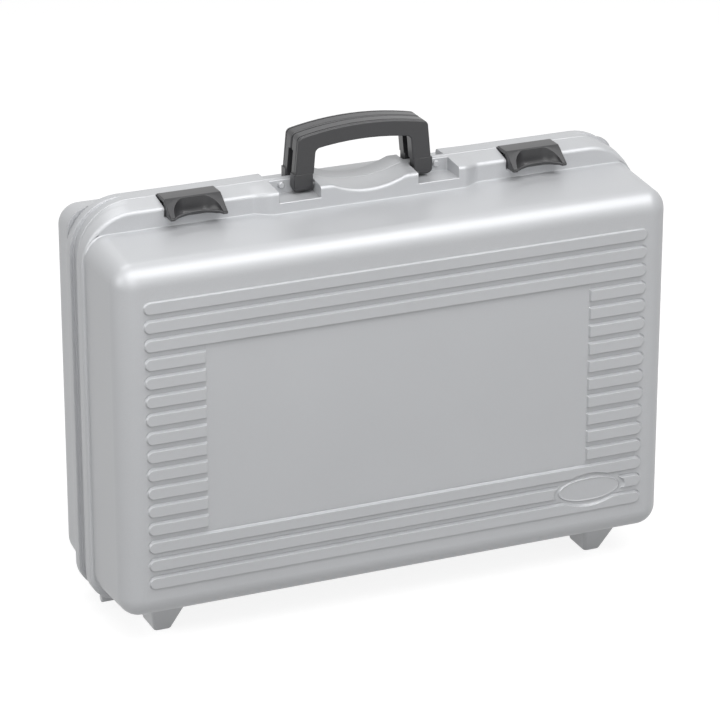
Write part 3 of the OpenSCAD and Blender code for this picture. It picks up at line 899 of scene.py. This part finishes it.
def latch(name, side):
    solid = mesh_object(name, *loft(latch_rings(side)), split=True)
    y, z = SEAM_Y - LATCH_PIVOT_IN, LATCH_PIVOT_Z
    x = side * LATCH_X
    half = LATCH_W / 2
    combine(solid, rod_x("barrel", x - half, x + half, y, z, BARREL_R, 0.4, steps=48), "UNION")
    for t in (-1, 1):
        wide = LUG_W / 2 + SIDE_GAP
        combine(solid, latch_slot("slot", x + t * LUG_X - wide, x + t * LUG_X + wide),
                "DIFFERENCE")
    combine(solid, rod_x("bore", x - LATCH_W, x + LATCH_W, y, z, LATCH_PIN_R), "DIFFERENCE")
    return smooth(solid, 30)


def latch_slot(name, x0, x1):
    """Room round a lug of the rear shell, open below and to the rear."""
    r = LUG_R + 0.4
    reach = 3 * BARREL_R
    outline = [(r * math.sin(a), r * math.cos(a)) for a in
               (math.radians(15 * i) for i in range(7))]
    outline += [(0.6 * reach, 0), (0.6 * reach, -reach), (-2 * reach, -reach),
                (-2 * reach, r + 0.7 * reach)]
    y, z = SEAM_Y - LATCH_PIVOT_IN, LATCH_PIVOT_Z
    rings = [[(x, y - u, z + w) for u, w in outline] for x in (x0, x1)]
    return mesh_object(name, *loft(rings))


# Materials

def node_material(name, colour, roughness, metallic=0.0, grain=0.02, grain_size=0.5,
                  tint=0.04, bevel=0.45, specular=0.5, coat=0.0):
    """Moulded plastic or plain metal: fine grain, a little cloudiness and softened edges."""
    material = bpy.data.materials.new(name)
    material.use_nodes = True
    tree = material.node_tree
    nodes, links = tree.nodes, tree.links
    shader = nodes["Principled BSDF"]
    shader.inputs["Metallic"].default_value = metallic
    shader.inputs["Specular IOR Level"].default_value = specular
    shader.inputs["Coat Weight"].default_value = coat
    place = nodes.new("ShaderNodeTexCoord")
    fine = nodes.new("ShaderNodeTexNoise")
    fine.inputs["Scale"].default_value = 1 / (grain_size * MM)
    fine.inputs["Detail"].default_value = 3
    links.new(place.outputs["Object"], fine.inputs["Vector"])
    cloud = nodes.new("ShaderNodeTexNoise")
    cloud.inputs["Scale"].default_value = 9
    cloud.inputs["Detail"].default_value = 2
    links.new(place.outputs["Object"], cloud.inputs["Vector"])
    both = nodes.new("ShaderNodeMix")
    both.data_type = "FLOAT"
    both.inputs["Factor"].default_value = 0.35
    links.new(fine.outputs["Fac"], both.inputs["A"])
    links.new(cloud.outputs["Fac"], both.inputs["B"])
    ramp = nodes.new("ShaderNodeValToRGB")
    dark = [c * (1 - tint) for c in colour]
    light = [min(c * (1 + tint), 1) for c in colour]
    ramp.color_ramp.elements[0].position = 0.3
    ramp.color_ramp.elements[0].color = (*dark, 1)
    ramp.color_ramp.elements[1].position = 0.7
    ramp.color_ramp.elements[1].color = (*light, 1)
    links.new(both.outputs["Result"], ramp.inputs["Fac"])
    links.new(ramp.outputs["Color"], shader.inputs["Base Color"])
    rough = nodes.new("ShaderNodeMapRange")
    rough.inputs["From Min"].default_value = 0.3
    rough.inputs["From Max"].default_value = 0.7
    rough.inputs["To Min"].default_value = roughness - 0.03
    rough.inputs["To Max"].default_value = roughness + 0.03
    links.new(cloud.outputs["Fac"], rough.inputs["Value"])
    links.new(rough.outputs["Result"], shader.inputs["Roughness"])
    edge = nodes.new("ShaderNodeBevel")
    edge.samples = 6
    edge.inputs["Radius"].default_value = bevel * MM
    bump = nodes.new("ShaderNodeBump")
    bump.inputs["Strength"].default_value = 0.6
    bump.inputs["Distance"].default_value = grain * MM
    links.new(fine.outputs["Fac"], bump.inputs["Height"])
    links.new(edge.outputs["Normal"], bump.inputs["Normal"])
    links.new(bump.outputs["Normal"], shader.inputs["Normal"])
    return material


silver = node_material("silver_plastic", (0.47, 0.478, 0.492), 0.40, metallic=0.25,
                       grain=0.012, grain_size=0.45, tint=0.05)
charcoal = node_material("charcoal_plastic", (0.034, 0.034, 0.036), 0.29, grain=0.02,
                         grain_size=0.6, tint=0.1)
steel = node_material("pin_steel", (0.45, 0.45, 0.46), 0.32, metallic=1.0, grain=0.004,
                      grain_size=0.3, tint=0.05, bevel=0.2)


def dress(obj, material, body=None, replaced=()):
    obj.data.materials.clear()
    obj.data.materials.append(material)
    if body:
        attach(obj, body)
    if replaced:
        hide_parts(*replaced)
    return obj


for node_name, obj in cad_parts.items():
    finish = steel if node_name.endswith("_pin") else charcoal
    if node_name.endswith("_shell"):
        finish = silver
    obj.data.materials.clear()
    obj.data.materials.append(finish)

front = shell("front_shell_moulding", to_front, FRONT_DEPTH, FRONT_TOP, FRONT_BOTTOM,
              FRONT_CHANNEL, FRONT_FALL, True, 0, True)
dress(front, silver, "front_case", ["front_shell"])
rear = shell("rear_shell_moulding", to_rear, REAR_DEPTH, REAR_TOP, REAR_BOTTOM,
             REAR_CHANNEL, REAR_FALL, False, 1, False)
dress(rear, silver, "rear_case", ["rear_shell"])
for side_name, place in (("front", to_front), ("rear", to_rear)):
    part = side_name + "_handle"
    dress(handle(part + "_moulding", place), charcoal, part, [part])
for side_name, side in (("left", -1), ("right", 1)):
    part = side_name + "_latch"
    dress(latch(part + "_moulding", side), charcoal, part, [part])


# Stage

def emission_for(tree, strength_when_seen):
    """Emission seen by the camera and in reflections only."""
    nodes, links = tree.nodes, tree.links
    path = nodes.new("ShaderNodeLightPath")
    seen = nodes.new("ShaderNodeMath")
    seen.operation = "MAXIMUM"
    links.new(path.outputs["Is Camera Ray"], seen.inputs[0])
    links.new(path.outputs["Is Glossy Ray"], seen.inputs[1])
    both = nodes.new("ShaderNodeMath")
    both.operation = "MAXIMUM"
    links.new(seen.outputs[0], both.inputs[0])
    links.new(path.outputs["Is Transmission Ray"], both.inputs[1])
    scaled = nodes.new("ShaderNodeMath")
    scaled.operation = "MULTIPLY"
    scaled.inputs[1].default_value = strength_when_seen
    links.new(both.outputs[0], scaled.inputs[0])
    return scaled


FLOOR_HALF = 3000


def make_floor():
    half = FLOOR_HALF
    corners = [(-half, -half, 0), (half, -half, 0), (half, half, 0), (-half, half, 0)]
    floor = mesh_object("floor", corners, [(0, 1, 2, 3)])
    material = bpy.data.materials.new("pale_floor")
    material.use_nodes = True
    tree = material.node_tree
    shader = tree.nodes["Principled BSDF"]
    shader.inputs["Base Color"].default_value = (0.25, 0.25, 0.25, 1)
    shader.inputs["Roughness"].default_value = 0.9
    glow = emission_for(tree, 0.85)
    shader.inputs["Emission Color"].default_value = (1, 1, 1, 1)
    tree.links.new(glow.outputs[0], shader.inputs["Emission Strength"])
    floor.data.materials.append(material)


def make_world(ambient):
    world = bpy.data.worlds.new("studio")
    bpy.context.scene.world = world
    world.use_nodes = True
    tree = world.node_tree
    background = tree.nodes["Background"]
    background.inputs["Color"].default_value = (1, 1, 1, 1)
    seen = emission_for(tree, 1 - ambient)
    total = tree.nodes.new("ShaderNodeMath")
    total.operation = "ADD"
    total.inputs[1].default_value = ambient
    tree.links.new(seen.outputs[0], total.inputs[0])
    tree.links.new(total.outputs[0], background.inputs["Strength"])


def area_light(name, place, target, size, power):
    light = bpy.data.lights.new(name, "AREA")
    light.shape = "RECTANGLE"
    light.size, light.size_y = size
    light.energy = power
    obj = bpy.data.objects.new(name, light)
    bpy.context.scene.collection.objects.link(obj)
    obj.location = place
    direction = Vector(target) - Vector(place)
    obj.rotation_euler = direction.to_track_quat("-Z", "Y").to_euler()
    return obj


make_floor()
make_world(0.12)
area_light("overhead", (0.1, -0.8, 1.6), (0, -0.1, 0.2), (2.4, 1.2), 32)
area_light("left_side", (-2.0, -0.5, 1.1), (0, 0, 0.2), (1.2, 1.4), 12.5)
area_light("front_fill", (-0.8, -2.6, 1.3), (0, 0, 0.2), (1.6, 1.4), 13)
area_light("right_fill", (1.4, -2.2, 1.6), (0, 0, 0.2), (1.4, 1.2), 5)
area_light("rear_top", (-0.3, 0.9, 1.9), (0, 0, 0.3), (1.2, 0.4), 7)

# Camera
CAMERA_PLACE = Vector((-1.0380, -2.40715, 1.2430))
CAMERA_TARGET = Vector((-0.0357, -0.07425, 0.2171))
camera_data = bpy.data.cameras.new("camera")
camera_data.lens = 179
camera_data.sensor_width = 36
camera = bpy.data.objects.new("camera", camera_data)
bpy.context.scene.collection.objects.link(camera)
camera.location = CAMERA_PLACE
camera.rotation_euler = (CAMERA_TARGET - CAMERA_PLACE).to_track_quat("-Z", "Y").to_euler()
bpy.context.scene.camera = camera
bpy.context.scene.view_settings.view_transform = "Standard"
